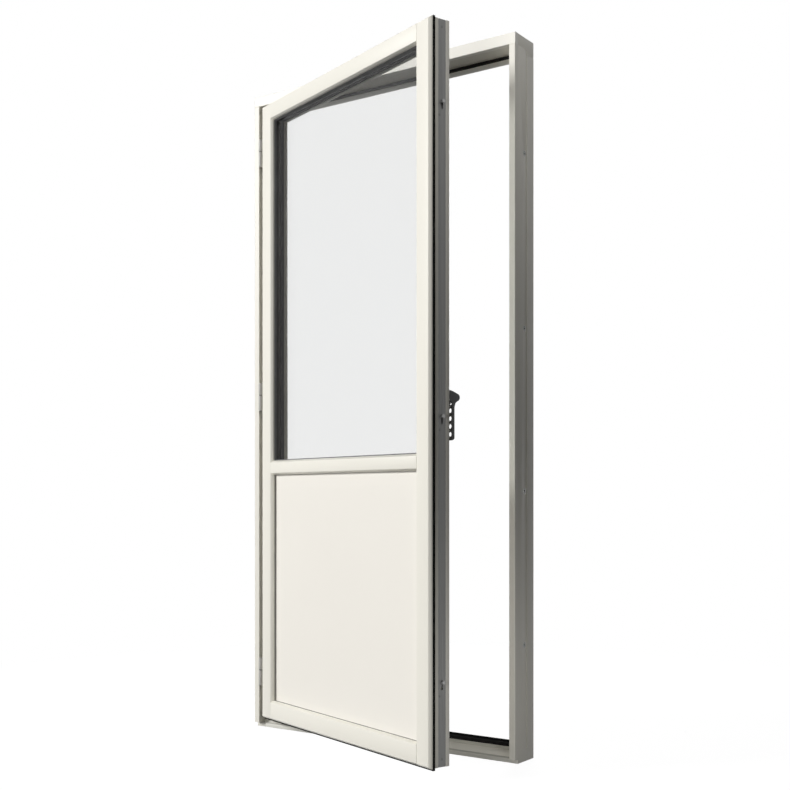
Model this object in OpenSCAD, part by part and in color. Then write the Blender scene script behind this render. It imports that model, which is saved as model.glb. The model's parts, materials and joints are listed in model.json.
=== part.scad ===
// Balcony door: an aluminium-clad timber leaf on three hinges in its frame.
// The door is drawn shut, with x across from the hinge side, y inward from the frame's face and z up.
// Two placing modules then centre the frame on the origin and swing the leaf open.

/* [Frame] */
// Overall width of the frame
frame_w = 980; // [780:10:1180]
// Overall height of the frame
frame_h = 2080; // [1700:10:2480]
// Overall depth of the frame
frame_d = 110; // [90:1:140]
// Depth of the cladding in front of the frame's timber
frame_cladding_d = 16; // [12:1:22]
// Wall of the cladding profiles
cladding_wall = 2; // [1.2:0.1:2.5]
// Radius of the frame cladding's front edges
cladding_r = 2; // [0.5:0.1:3]
// Width of a jamb beside the rebate
jamb_face = 20; // [18:1:30]
// Height of the head above the rebate
head_face = 33; // [26:1:45]
// Gap between the shut leaf and the stop, which the frame seal fills
stop_gap = 4; // [3:0.5:6]
// Reach of the hinge jamb's stop into the opening
hinge_stop_w = 25; // [24:1:34]
// Reach of the lock jamb's stop into the opening
lock_stop_w = 20; // [18:1:24]
// Reach of the head's stop into the opening
head_stop_h = 12; // [9:1:16]
// Bevel on the timber's edges towards the room
arris = 2; // [1:0.5:4]
// Height of the bare timber foot under the jamb cladding
cladding_foot = 15; // [8:1:30]
// Width of the groove in the jambs' outer sides
groove_w = 6; // [3:0.5:8]
// Depth of the groove in the jambs' outer sides
groove_d = 4; // [2:0.5:6]
// Distance of the groove from the stop's face
groove_offset = 2; // [1:0.5:6]
// Height at which the groove starts
groove_foot = 36; // [20:1:60]

/* [Threshold] */
// Height of the threshold's rear stop
threshold_h = 45; // [42:1:52]
// Height of the nosing's front
nose_h = 13; // [9:1:14]
// Width of the drip groove behind the nosing
drip_w = 2; // [1:0.5:3]
// Depth of the drip groove
drip_d = 1.2; // [0.5:0.1:1.5]
// Distance from the nosing's front to the end of the steep slope
knee_d = 14; // [10:1:24]
// Height of the end of the steep slope
knee_h = 19.5; // [17:0.5:21]
// Height of the top end of the slope
slope_h = 25; // [22:1:28]
// Height of the step behind the slope
step_h = 33; // [29:0.5:33]
// Depth of the step in front of the rear stop
step_d = 5; // [4:0.5:8]
// Bevel on the nosing's front edge
nose_bevel = 2; // [1:0.5:4]
// Bevel on the rear stop's edge towards the room
threshold_bevel = 4; // [2:0.5:6]
// Wall of the threshold plate
plate_wall = 2.5; // [1.5:0.1:3]

/* [Leaf] */
// Angle at which the leaf stands open
open_angle = 19.7; // [0:0.1:90]
// Overall thickness of the leaf
leaf_t = 70; // [66:1:74]
// Depth of the leaf's cladding
leaf_cladding_d = 12; // [11:0.5:14]
// How far the leaf stands in front of the frame
leaf_proud = 2; // [0:0.5:6]
// Gap between hinge jamb and leaf
hinge_gap = 15; // [14:0.5:18]
// Gap between lock jamb and leaf
lock_gap = 12; // [11.5:0.5:14]
// Gap between head and leaf
top_gap = 4; // [3:0.5:8]
// Height of the leaf's lower edge
leaf_bottom = 34; // [34:0.5:38]
// Width of the flat face of the stiles
stile_face = 52; // [48:1:80]
// Height of the flat face of the top rail
top_face = 46; // [30:1:80]
// Height of the flat face of the middle rail
middle_face = 34; // [26:1:60]
// Height of the flat face of the bottom rail
bottom_face = 51; // [40:1:160]
// Height of the middle rail's centre line
middle_z = 854; // [500:1:1000]
// Width of the bevel on the cladding's edges
bevel_w = 6; // [3:0.5:8]
// Depth of the bevel on the cladding's edges
bevel_d = 8; // [4:0.5:9]
// How far the leaf's timber stays inside the cladding's outline
timber_inset = 1.5; // [1:0.1:2]
// Depth of the leaf seal, front to back
leaf_seal_d = 7; // [4:0.5:8]
// How far the leaf seal reaches past the cladding
leaf_seal_reach = 2; // [1:0.1:2.5]
// How far the leaf seal hangs below the cladding
leaf_seal_drop = 5; // [2:0.5:7]
// How far the leaf seal is rooted in the timber
leaf_seal_root = 4; // [2:0.5:6]

/* [Glazing] */
// Thickness of each pane and of each panel board
pane_t = 4; // [3:0.5:5]
// Gap between the panes
pane_gap = 12; // [10:0.5:13]
// Cover of the glazing by the cladding and the timber lip
glazing_cover = 15; // [12:0.5:20]
// Clearance round the edge of glass and panel
edge_clearance = 4; // [3:0.5:6]
// Width of the spacers, measured from the edge of the glass
spacer_w = 12; // [8:0.5:14]
// Thickness of the outer glazing seals
glazing_seal_t = 6; // [4:0.5:7]
// How far the outer glass seal shows past the cladding
glazing_seal_sight = 3.5; // [1:0.5:5]
// How far the panel's white bedding stays behind the cladding's edge
bedding_inset = 0.5; // [0.2:0.1:2]
// Thickness of the inner glazing tape
tape_t = 2; // [1:0.5:3]
// Length of a setting block
block_len = 100; // [60:5:150]
// Distance of a setting block from the edge of the glazing
block_offset = 90; // [40:5:150]

/* [Hinges] */
// Height of the parting line of the bottom hinge
hinge_low_z = 189.5; // [150:0.5:350]
// Height of the parting line of the middle hinge
hinge_mid_z = 1094; // [900:1:1150]
// Distance of the top hinge's parting line from the frame's top
hinge_top_drop = 184; // [150:1:400]
// Diameter of the hinge knuckles
knuckle_d = 13; // [12:0.5:13.5]
// Bevel on the ends of the hinge knuckles
knuckle_bevel = 1; // [0.5:0.1:2]
// Diameter of the hinge pins
pin_d = 8; // [5:0.5:9]
// Radial running clearance of the pins and of the handle
running_fit = 0.05; // [0.02:0.01:0.1]
// Height of the leaf's knuckle
leaf_knuckle_h = 40; // [30:1:60]
// Height of the frame's knuckle
frame_knuckle_h = 51; // [40:1:70]
// Thickness of the hinge plates
hinge_plate_t = 2.5; // [2:0.1:3]
// Depth of the hinge plates, front to back
hinge_plate_d = 28; // [24:1:30]
// Distance of the hinge pin from the jamb
pin_from_jamb = 7; // [6.8:0.1:7.5]
// How far the hinge pin lies in front of the frame
pin_proud = 1; // [0:0.5:4]

/* [Lock] */
// Height of the handle's axis
handle_z = 1033; // [1013:1:1100]
// Distance of the handle's axis from the leaf's lock edge
backset = 28; // [27:0.5:30]
// Width of the espagnolette's faceplate
faceplate_w = 25; // [22:1:28]
// Thickness of the espagnolette's faceplate
faceplate_t = 3; // [2:0.1:3.5]
// Distance of the faceplate's ends from the leaf's ends
faceplate_end = 2; // [2:0.5:10]
// Width of the drive bar
bar_w = 11; // [9:0.5:11]
// Thickness of the drive bar
bar_t = 4; // [3:0.1:4.5]
// Height of the bottom cam
cam_low_z = 263; // [200:1:500]
// Height of the middle cam
cam_mid_z = 976; // [700:1:980]
// Distance of the top cam from the frame's top
cam_top_drop = 260; // [230:1:500]
// Diameter of a cam's head
cam_d = 10; // [9:0.5:11]
// Bevel on the edges of a cam's head
cam_bevel = 0.8; // [0.3:0.1:1.5]
// Diameter of a cam's stud
cam_stud_d = 7; // [5:0.5:7]
// Number of teeth on the pinion
pinion_teeth = 10; // [9:1:11]
// Module of the rack and pinion
gear_module = 2; // [1.8:0.05:2]
// Play between the flanks of rack and pinion
gear_play = 0.35; // [0.2:0.05:0.5]
// Width of the square spindle
spindle_w = 7; // [6:0.5:8]

/* [Handle] */
// Reach of the lever below its axis
lever_len = 119; // [116:1:140]
// Width of the lever's grip
grip_w = 27; // [24:1:28]
// Thickness of the lever's grip
grip_t = 8; // [6:0.5:9]
// Gap between the leaf and the grip
grip_gap = 20; // [18:1:35]
// Radius of the grip's lower corners
grip_r = 8; // [4:0.5:12]
// Number of full slots in the grip
slot_count = 4; // [2:1:4]
// Distance between the slots' centres
slot_pitch = 21.5; // [18:0.5:22]
// Width of a slot
slot_w = 20; // [14:0.5:21]
// Height of a slot
slot_h = 13; // [8:0.5:14]
// Distance of the first full slot's upper edge from the axis
slot_start = 31.5; // [30:0.5:33]
// Height of the short slot above the full ones
short_slot_h = 7.5; // [6:0.5:8]
// Width of the lever's head
head_w = 23; // [20:0.5:24]
// Reach of the lever's nose from the leaf
nose_out = 48; // [44:1:56]
// Radius of the lever's nose
nose_r = 10.5; // [8:0.5:12]
// Radius of the hollow between nose and grip
throat_r = 22; // [16:0.5:24]
// Width of the handle's rosette
rosette_w = 28; // [26:1:30]
// Height of the handle's rosette
rosette_h = 66; // [60:1:80]
// Thickness of the handle's rosette
rosette_t = 10; // [8:0.5:12]
// Bevel on the rosette's front edge
rosette_bevel = 2; // [0.5:0.5:4]

/* [Fixings] */
// Diameter of a fixing sleeve
sleeve_d = 16; // [12:0.5:18]
// Bore of a fixing sleeve
sleeve_bore = 8; // [5:0.5:10]
// Distance of the fixing sleeves from the frame's face
fixing_y = 56; // [50:1:58]
// Distance of the outer fixing sleeves from the frame's ends
fixing_end = 334; // [310:1:400]
// Distance between the two lower fixing sleeves
fixing_low_span = 443; // [400:1:460]
// Distance between the two upper fixing sleeves
fixing_high_span = 503; // [420:1:510]

/* [Hidden] */
$fn = 48;
eps = 1;
corner_steps = 8;

// Frame, measured from its outer hinge corner
lock_jamb_x = frame_w - jamb_face;
head_z = frame_h - head_face;
open_x = [jamb_face + hinge_stop_w, lock_jamb_x - lock_stop_w];
open_z = [threshold_h, head_z - head_stop_h];

// Leaf outline, when shut
leaf_x = [jamb_face + hinge_gap, lock_jamb_x - lock_gap];
leaf_z = [leaf_bottom, head_z - top_gap];
leaf_y = [-leaf_proud, leaf_t - leaf_proud];
stop_y = leaf_y[1] + stop_gap;
groove_y = [stop_y - groove_offset - groove_w, stop_y - groove_offset];
cladding_y = leaf_y[0] + leaf_cladding_d;
timber_x = [leaf_x[0] + timber_inset, leaf_x[1] - timber_inset];
timber_z = [leaf_z[0] + timber_inset, leaf_z[1] - timber_inset];
seal_y = cladding_y + leaf_seal_d;

// Edges of the flat faces, and the sight lines of the two openings
face_x = [leaf_x[0] + bevel_w + stile_face, leaf_x[1] - bevel_w - stile_face];
sight_x = [face_x[0] + bevel_w, face_x[1] - bevel_w];
middle_rail_z = [middle_z - middle_face / 2 - bevel_w, middle_z + middle_face / 2 + bevel_w];
bottom_rail_z = [leaf_z[0], leaf_z[0] + bottom_face + 2 * bevel_w];
top_rail_z = [leaf_z[1] - top_face - 2 * bevel_w, leaf_z[1]];
glass_sight_z = [middle_rail_z[1], top_rail_z[0]];
panel_sight_z = [bottom_rail_z[1], middle_rail_z[0]];

// Glazing, from outside to inside
unit_y = [cladding_y + glazing_seal_t, cladding_y + glazing_seal_t + 3 * pane_t + 2 * pane_gap];
lip_y = unit_y[1] + tape_t;
rebate_x = grown(sight_x, glazing_cover);
glass_rebate_z = grown(glass_sight_z, glazing_cover);
panel_rebate_z = grown(panel_sight_z, glazing_cover);
unit_x = grown(rebate_x, -edge_clearance);
glass_z = grown(glass_rebate_z, -edge_clearance);
panel_z = grown(panel_rebate_z, -edge_clearance);

// Hinges
pin_x = jamb_face + pin_from_jamb;
pin_y = -pin_proud;
hinge_top_z = frame_h - hinge_top_drop;
hinge_zs = [hinge_low_z, hinge_mid_z, hinge_top_z];
washer_t = 1.7;
washer_gap = 0.3;
washer_inset = 0.25;
pin_cover = [4, 5];
hinge_seal_gap = 0.5;
hinge_leaf_gap = 0.2;
hinge_plate_r = 4;
hinge_screw_inset = [7, 9];
hinge_plate_y = [seal_y + hinge_seal_gap, seal_y + hinge_seal_gap + hinge_plate_d];
leaf_plate_x = leaf_x[0] - hinge_leaf_gap - hinge_plate_t;
hinge_screw_ys = grown(hinge_plate_y, -hinge_screw_inset[0]);
hinge_screw_zs = grown([-frame_knuckle_h, leaf_knuckle_h], -hinge_screw_inset[1]);

// Lock
lock_inset = 31.5;
lock_y = cladding_y + lock_inset;
edge_x = timber_x[1];
plate_x = edge_x - faceplate_t;
faceplate_y = [lock_y - faceplate_w / 2, lock_y + faceplate_w / 2];
faceplate_z = grown(leaf_z, -faceplate_end);
faceplate_r = 3;
faceplate_screw_end = 21;
faceplate_screw_drop = 37;
bar_play = 0.5;
bar_depth = 1.5;
bar_end = 15;
bar_room = 3;
bar_x = [plate_x - bar_depth - bar_t, plate_x - bar_depth];
bar_side_y = [lock_y - bar_w / 2, lock_y + bar_w / 2];
cam_top_z = frame_h - cam_top_drop;
cam_zs = [cam_low_z, cam_mid_z, cam_top_z];
cam_neck = 4.5;
cam_head_t = 5;
cam_slot_play = [0.5, 1];
cam_head_x = [edge_x + cam_neck, edge_x + cam_neck + cam_head_t];
pitch_r = pinion_teeth * gear_module / 2;
gear_pitch = PI * gear_module;
handle_range = 90;
bar_travel = pitch_r * PI * handle_range / 180;
bar_z = [cam_low_z - bar_end, cam_top_z + bar_end];
axis_x = edge_x - backset;
case_wall = 2;
case_d = 16;
case_h = 70;
case_room = 4.5;
gear_gap = 1;
case_x = axis_x - pitch_r - case_room;
case_y = [lock_y - case_d / 2, lock_y + case_d / 2];
case_z = [handle_z - case_h / 2, handle_z + case_h / 2];
gear_y = grown(case_y, -case_wall - gear_gap);
hub_r = 7;
keeper_t = 2.5;
keeper_r = 3;
keeper_x = lock_jamb_x - keeper_t;
keeper_y = [lock_y - 18, lock_y + 14];
keeper_reach = 22;
keeper_screw_end = 8;
keeper_screw_y = lock_y + 5;
keeper_lip_gap = 2.5;
keeper_lip_t = 5.5;
keeper_lip_reach = 0.8;
keeper_lip_end = [1, 3.5];

// Handle
collar_r = 8;
collar_room = 1;
neck_gap = 1;
neck_h = 13;
neck_slope = 2;
brow = [5, 18];
head_r = 6;
head_foot = 40;
nose_drop = 2;
nose_top = 75;
grip_top = 16;
grip_end_bevel = 4;
spindle_reach = 40;
rosette_screw_end = 9;
rosette_screw_z = rosette_h / 2 - rosette_screw_end;

// Fixings
fixing_top_z = frame_h - fixing_end;
fixing_zs = [fixing_end, fixing_end + fixing_low_span, fixing_top_z - fixing_high_span, fixing_top_z];

// Small screws
screw_r = 2;
screw_head_r = 3.8;
screw_len = 16;

paint = "#f3f1e8";
rubber = "#161616";
steel = "#8b8b88";
aluminium = "#c9c9c3";
black = "#1c1c1c";
glass = "#cfdcd8";

// A pair of limits, moved apart by a distance at each end
function grown(limits, by) = [limits[0] - by, limits[1] + by];

// A point at a radius and an angle
function polar(r, a) = r * [cos(a), sin(a)];

module in_frame() translate([-frame_w / 2, -frame_d / 2, 0]) children();

module in_leaf() {
    in_frame()
    translate([pin_x, pin_y, 0])
    rotate(-open_angle)
    translate([-pin_x, -pin_y, 0])
    children();
}

module box(x, y, z) {
    translate([x[0], y[0], z[0]])
    cube([x[1] - x[0], y[1] - y[0], z[1] - z[0]]);
}

// A rectangular ring in the plane of the door
module ring(outer_x, outer_z, inner_x, inner_z, y) {
    difference() {
        box(outer_x, y, outer_z);
        box(inner_x, grown(y, eps), inner_z);
    }
}

// Sections drawn in (y, z), in (x, z) and in (x, y)
module along_x(x) translate([x[0], 0, 0]) rotate([90, 0, 90]) linear_extrude(x[1] - x[0]) children();
module along_y(y) translate([0, y[1], 0]) rotate([90, 0, 0]) linear_extrude(y[1] - y[0]) children();
module along_z(z) translate([0, 0, z[0]]) linear_extrude(z[1] - z[0]) children();

// A rectangle with rounded corners, between two pairs of limits
module rounded(u, v, r) {
    centres = [[u[1] - r, v[1] - r], [u[0] + r, v[1] - r], [u[0] + r, v[0] + r], [u[1] - r, v[0] + r]];
    polygon([
        for (corner = [0 : 3], i = [0 : corner_steps])
            centres[corner] + polar(r, 90 * (corner + i / corner_steps))
    ]);
}

// A round bar along y, centred at x and z
module bar_y(x, z, r, y) translate([x, 0, z]) along_y(y) circle(r);

// A slot along y with half-round ends, wide across x
module wide_slot(x, z, w, h, y) {
    along_y(y) translate([x, z]) {
        square([w - h, h], center = true);
        for (side = [-1, 1]) translate([side * (w - h) / 2, 0]) circle(h / 2);
    }
}

// A countersunk screw along x, its head's face at the origin and its tip towards side
module screw(side) {
    rotate([0, 90 * side, 0])
    rotate_extrude()
    polygon([
        [0, 0], [screw_head_r, 0], [screw_r, screw_head_r - screw_r],
        [screw_r, screw_len], [0, screw_len]
    ]);
}

// Frame timber: the jambs' stops end under the head's stop

module jamb_section(stop_w) {
    stop_x = jamb_face + stop_w;
    polygon([
        [0, frame_cladding_d], [jamb_face, frame_cladding_d], [jamb_face, stop_y],
        [stop_x, stop_y], [stop_x, frame_d - arris], [stop_x - arris, frame_d], [0, frame_d]
    ]);
}

module jamb_timber(stop_w) {
    difference() {
        along_z([0, head_z]) jamb_section(stop_w);
        box([-eps, jamb_face + stop_w + eps], [stop_y, frame_d + eps], [open_z[1], head_z + eps]);
        box([-eps, groove_d], groove_y, [groove_foot, head_z + eps]);
    }
}

// Turns a hinge-side piece of the frame into a lock-side one
module to_lock_side() translate([frame_w, 0, 0]) mirror([1, 0, 0]) children();

module sleeve_holes(r) {
    for (z = fixing_zs)
        translate([-eps, fixing_y, z]) rotate([0, 90, 0]) cylinder(r = r, h = frame_w + 2 * eps);
}

module frame_head() {
    color(paint) in_frame() along_x([0, frame_w])
    polygon([
        [frame_cladding_d, head_z], [stop_y, head_z], [stop_y, open_z[1]], [frame_d - arris, open_z[1]],
        [frame_d, open_z[1] + arris], [frame_d, frame_h], [frame_cladding_d, frame_h]
    ]);
}

module frame_jamb_hinge() {
    color(paint) in_frame() difference() {
        jamb_timber(hinge_stop_w);
        sleeve_holes(sleeve_d / 2);
        for (z = hinge_zs) translate([0, 0, z]) hinge_screw_set(jamb_face + hinge_plate_t, -1);
    }
}

module frame_jamb_lock() {
    color(paint) in_frame() difference() {
        to_lock_side() jamb_timber(lock_stop_w);
        sleeve_holes(sleeve_d / 2);
        for (z = cam_zs) translate([0, 0, z]) keeper_screw_pair();
    }
}

// Frame cladding: hollow profiles with rounded front edges and a closed end

module frame_cladding_section(width) {
    r = cladding_r;
    translate([r, 0]) square([width - 2 * r, frame_cladding_d]);
    translate([0, r]) square([width, frame_cladding_d - r]);
    for (x = [r, width - r]) translate([x, r]) circle(r);
}

module frame_cladding_hollow(width) {
    translate([cladding_wall, cladding_wall])
    square([width - 2 * cladding_wall, frame_cladding_d]);
}

module jamb_cladding() {
    difference() {
        along_z([cladding_foot, head_z]) frame_cladding_section(jamb_face);
        along_z([cladding_foot + cladding_wall, head_z + eps]) frame_cladding_hollow(jamb_face);
    }
}

module head_cladding() {
    color(paint) in_frame() difference() {
        along_x([0, frame_w]) translate([0, head_z]) turned_section() frame_cladding_section(head_face);
        along_x([cladding_wall, frame_w - cladding_wall])
            translate([0, head_z]) turned_section() frame_cladding_hollow(head_face);
    }
}

// Swaps the two axes of a section
module turned_section() mirror([1, -1]) children();

module jamb_cladding_hinge() color(paint) in_frame() jamb_cladding();
module jamb_cladding_lock() color(paint) in_frame() to_lock_side() jamb_cladding();

// Threshold: an aluminium plate over a composite core, with a stop behind the leaf

nose_y = frame_cladding_d;
nose_flat = 1;
drip_start = nose_y + nose_bevel + nose_flat;
drip_y = [drip_start, drip_start + drip_w];
drip_floor = nose_h - drip_d;
knee_y = nose_y + knee_d;
step_y = stop_y - step_d;
core_h = step_h - plate_wall;
core_top = [
    [nose_y + plate_wall, drip_floor - plate_wall], [drip_y[1], drip_floor - plate_wall],
    [knee_y, knee_h - plate_wall], [step_y + plate_wall, slope_h - plate_wall],
    [step_y + plate_wall, core_h], [stop_y, core_h]
];

module threshold_plate() {
    under_plate = [[stop_y + eps, core_h], [stop_y + eps, -eps], [nose_y + plate_wall, -eps]];
    color(aluminium) in_frame() along_x([jamb_face, lock_jamb_x]) difference() {
        polygon([
            [nose_y, 0], [nose_y, nose_h - nose_bevel], [nose_y + nose_bevel, nose_h],
            [drip_y[0], nose_h], [drip_y[0], drip_floor], [drip_y[1], drip_floor], [drip_y[1], nose_h],
            [knee_y, knee_h], [step_y, slope_h], [step_y, step_h], [stop_y, step_h], [stop_y, 0]
        ]);
        polygon(concat(core_top, under_plate));
    }
}

module threshold_base() {
    color(black) in_frame() {
        along_x([jamb_face, lock_jamb_x])
            polygon(concat([[nose_y + plate_wall, 0]], core_top, [[stop_y, 0]]));
        along_x(open_x) polygon([
            [stop_y, 0], [stop_y, threshold_h], [frame_d - threshold_bevel, threshold_h],
            [frame_d, threshold_h - threshold_bevel], [frame_d, 0]
        ]);
    }
}

frame_seal_gap = 0.5;
frame_seal_lap = 1;

module frame_seal() {
    color(rubber) in_frame() ring(
        grown(timber_x, -frame_seal_gap), grown(timber_z, -frame_seal_gap),
        grown(open_x, frame_seal_lap), grown(open_z, frame_seal_lap),
        [leaf_y[1] + frame_seal_gap, stop_y]
    );
}

// Keepers: a plate on the lock jamb, with a lip that stands outside the locked cam.
// Keepers and hinges are drawn round the height of their cam or parting line

keeper_z = [-bar_travel - keeper_reach, keeper_reach];
lip_x = cam_head_x[0] - keeper_lip_reach;
lip_outer_y = lock_y - cam_d / 2 - keeper_lip_gap - keeper_lip_t;
lip_half_z = [cam_d / 2 + keeper_lip_end[0], cam_d / 2 + keeper_lip_end[1]];

module keeper(z) {
    color(steel) in_frame() translate([0, 0, z]) difference() {
        union() {
            along_x([keeper_x, lock_jamb_x]) rounded(keeper_y, keeper_z, keeper_r);
            along_y([lip_outer_y, lip_outer_y + keeper_lip_t]) polygon([
                [lip_x, -lip_half_z[0]], [lip_x, lip_half_z[0]],
                [keeper_x + keeper_t / 2, lip_half_z[1]], [keeper_x + keeper_t / 2, -lip_half_z[1]]
            ]);
        }
        keeper_screw_pair();
    }
}

module keeper_screw_pair() {
    for (end = grown(keeper_z, -keeper_screw_end))
        translate([keeper_x, keeper_screw_y, end]) screw(1);
}

module keeper_bottom() keeper(cam_low_z);
module keeper_middle() keeper(cam_mid_z);
module keeper_top() keeper(cam_top_z);

module keeper_screws() color(steel) in_frame() for (z = cam_zs) translate([0, 0, z]) keeper_screw_pair();

// Hinges: the frame's half carries the pin, and the leaf's half turns on it

module hinge_screw_set(x, side) {
    for (y = hinge_screw_ys, z = hinge_screw_zs) translate([x, y, z]) screw(side);
}

module knuckle(z) {
    r = knuckle_d / 2;
    translate([pin_x, pin_y, 0]) rotate_extrude() polygon([
        [0, z[0]], [r - knuckle_bevel, z[0]], [r, z[0] + knuckle_bevel],
        [r, z[1] - knuckle_bevel], [r - knuckle_bevel, z[1]], [0, z[1]]
    ]);
}

module hinge_pin_shape(r) {
    translate([pin_x, pin_y, pin_cover[0] - frame_knuckle_h])
    cylinder(r = r, h = frame_knuckle_h + leaf_knuckle_h - pin_cover[0] - pin_cover[1]);
}

// A strap from the knuckle, in front of a screwed plate with round corners
module hinge_plate(strap_x, plate_x, strap_z, plate_z) {
    along_x(strap_x) translate([pin_y, strap_z[0]])
        square([hinge_plate_y[0] + hinge_plate_r - pin_y, strap_z[1] - strap_z[0]]);
    along_x(plate_x) rounded(hinge_plate_y, plate_z, hinge_plate_r);
}

module hinge_frame(z) {
    low_z = [-frame_knuckle_h, -washer_t / 2];
    plate_x = [jamb_face, jamb_face + hinge_plate_t];
    color(steel) in_frame() translate([0, 0, z]) difference() {
        union() {
            knuckle(low_z);
            hinge_plate(plate_x, plate_x, low_z, [low_z[0], leaf_knuckle_h]);
        }
        hinge_pin_shape(pin_d / 2);
        hinge_screw_set(plate_x[1], -1);
    }
}

module hinge_leaf(z) {
    high_z = [washer_t / 2 + washer_gap, leaf_knuckle_h];
    color(steel) in_leaf() translate([0, 0, z]) difference() {
        union() {
            knuckle(high_z);
            hinge_plate([leaf_plate_x, leaf_plate_x + hinge_plate_t], [leaf_plate_x, timber_x[0]],
                high_z, [-frame_knuckle_h, high_z[1]]);
        }
        hinge_pin_shape(pin_d / 2 + running_fit);
        hinge_screw_set(leaf_plate_x, 1);
    }
}

module hinge_frame_bottom() hinge_frame(hinge_low_z);
module hinge_frame_middle() hinge_frame(hinge_mid_z);
module hinge_frame_top() hinge_frame(hinge_top_z);
module hinge_leaf_bottom() hinge_leaf(hinge_low_z);
module hinge_leaf_middle() hinge_leaf(hinge_mid_z);
module hinge_leaf_top() hinge_leaf(hinge_top_z);

module hinge_pin(z) color(steel) in_frame() translate([0, 0, z]) hinge_pin_shape(pin_d / 2);

module hinge_pin_bottom() hinge_pin(hinge_low_z);
module hinge_pin_middle() hinge_pin(hinge_mid_z);
module hinge_pin_top() hinge_pin(hinge_top_z);

module hinge_washers() {
    color(black) in_frame() for (z = hinge_zs)
        translate([pin_x, pin_y, z - washer_t / 2]) linear_extrude(washer_t) difference() {
            circle(knuckle_d / 2 - knuckle_bevel - washer_inset);
            circle(pin_d / 2);
        }
}

module hinge_frame_screws() {
    color(steel) in_frame() for (z = hinge_zs)
        translate([0, 0, z]) hinge_screw_set(jamb_face + hinge_plate_t, -1);
}

module hinge_leaf_screws() {
    color(steel) in_leaf() for (z = hinge_zs) translate([0, 0, z]) hinge_screw_set(leaf_plate_x, 1);
}

module fixing_sleeves() {
    color(steel) in_frame() difference() {
        for (z = fixing_zs, x = [0, lock_jamb_x])
            translate([x, fixing_y, z]) rotate([0, 90, 0]) cylinder(d = sleeve_d, h = jamb_face);
        sleeve_holes(sleeve_bore / 2);
    }
}

// Leaf timber: stiles run through, and the rails are coped between them.
// A stile's or end rail's section runs from its outer edge past the rebate to the sight line

module leaf_section(outer, rebate, sight, inward) {
    root = outer + inward * leaf_seal_root;
    bevel = inward * arris;
    polygon([
        [root, cladding_y], [rebate, cladding_y], [rebate, lip_y], [sight, lip_y],
        [sight, leaf_y[1] - arris], [sight - bevel, leaf_y[1]], [outer + bevel, leaf_y[1]],
        [outer, leaf_y[1] - arris], [outer, seal_y], [root, seal_y]
    ]);
}

module stile_hinge() {
    color(paint) in_leaf() difference() {
        along_z(timber_z) leaf_section(timber_x[0], rebate_x[0], sight_x[0], 1);
        leaf_seal_groove();
        for (z = hinge_zs) translate([0, 0, z]) hinge_screw_set(leaf_plate_x, 1);
    }
}

module stile_lock() {
    color(paint) in_leaf() difference() {
        along_z(timber_z) leaf_section(timber_x[1], rebate_x[1], sight_x[1], -1);
        leaf_seal_groove();
        box([plate_x, edge_x + eps], faceplate_y, grown(timber_z, eps));
        box([bar_x[0] - bar_play, plate_x + eps], grown(bar_side_y, bar_play),
            [bar_z[0] - bar_travel - bar_room, bar_z[1] + bar_room]);
        box([case_x, plate_x + eps], case_y, case_z);
        bar_y(axis_x, handle_z, collar_r + collar_room, [lock_y, leaf_y[1] + eps]);
        faceplate_screw_set();
        rosette_screw_pair();
    }
}

// The room that the leaf seal takes at the ends of the stiles
module leaf_seal_groove() {
    for (z = [timber_z[0] - eps, timber_z[1] - leaf_seal_root])
        box(timber_x, [cladding_y - eps, seal_y], [z, z + leaf_seal_root + eps]);
}

// Cuts a rail's ends to fit over the lips of the stiles
module rail_cope() {
    for (x = [[rebate_x[0] - eps, sight_x[0]], [sight_x[1], rebate_x[1] + eps]])
        box(x, [lip_y, leaf_y[1] + eps], timber_z);
}

module end_rail(outer, rebate, sight, inward) {
    difference() {
        along_x(rebate_x) turned_section() leaf_section(outer, rebate, sight, inward);
        rail_cope();
    }
}

module rail_top() {
    color(paint) in_leaf() end_rail(timber_z[1], glass_rebate_z[1], glass_sight_z[1], -1);
}

module rail_middle() {
    web_z = [panel_rebate_z[1], glass_rebate_z[0]];
    lip_z = middle_rail_z;
    color(paint) in_leaf() difference() {
        along_x(rebate_x) polygon([
            [cladding_y, web_z[0]], [lip_y, web_z[0]], [lip_y, lip_z[0]],
            [leaf_y[1] - arris, lip_z[0]], [leaf_y[1], lip_z[0] + arris],
            [leaf_y[1], lip_z[1] - arris], [leaf_y[1] - arris, lip_z[1]],
            [lip_y, lip_z[1]], [lip_y, web_z[1]], [cladding_y, web_z[1]]
        ]);
        rail_cope();
    }
}

module rail_bottom() {
    color(paint) in_leaf() end_rail(timber_z[0], panel_rebate_z[0], panel_sight_z[0], 1);
}

// Leaf cladding: hollow profiles with bevelled edges

bevel_slant = sqrt(1 / pow(bevel_w, 2) + 1 / pow(bevel_d, 2));
bevel_in = bevel_w * (1 + cladding_wall * bevel_slant - cladding_wall / bevel_d);
bevel_back = bevel_d * (1 + cladding_wall * bevel_slant - cladding_wall / bevel_w);
end_cap = 10;

module cladding_section(u) {
    polygon([
        [u[0], cladding_y], [u[0], leaf_y[0] + bevel_d], [u[0] + bevel_w, leaf_y[0]],
        [u[1] - bevel_w, leaf_y[0]], [u[1], leaf_y[0] + bevel_d], [u[1], cladding_y]
    ]);
}

module cladding_hollow(u) {
    polygon([
        [u[0] + cladding_wall, cladding_y + eps], [u[0] + cladding_wall, leaf_y[0] + bevel_back],
        [u[0] + bevel_in, leaf_y[0] + cladding_wall], [u[1] - bevel_in, leaf_y[0] + cladding_wall],
        [u[1] - cladding_wall, leaf_y[0] + bevel_back], [u[1] - cladding_wall, cladding_y + eps]
    ]);
}

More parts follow.
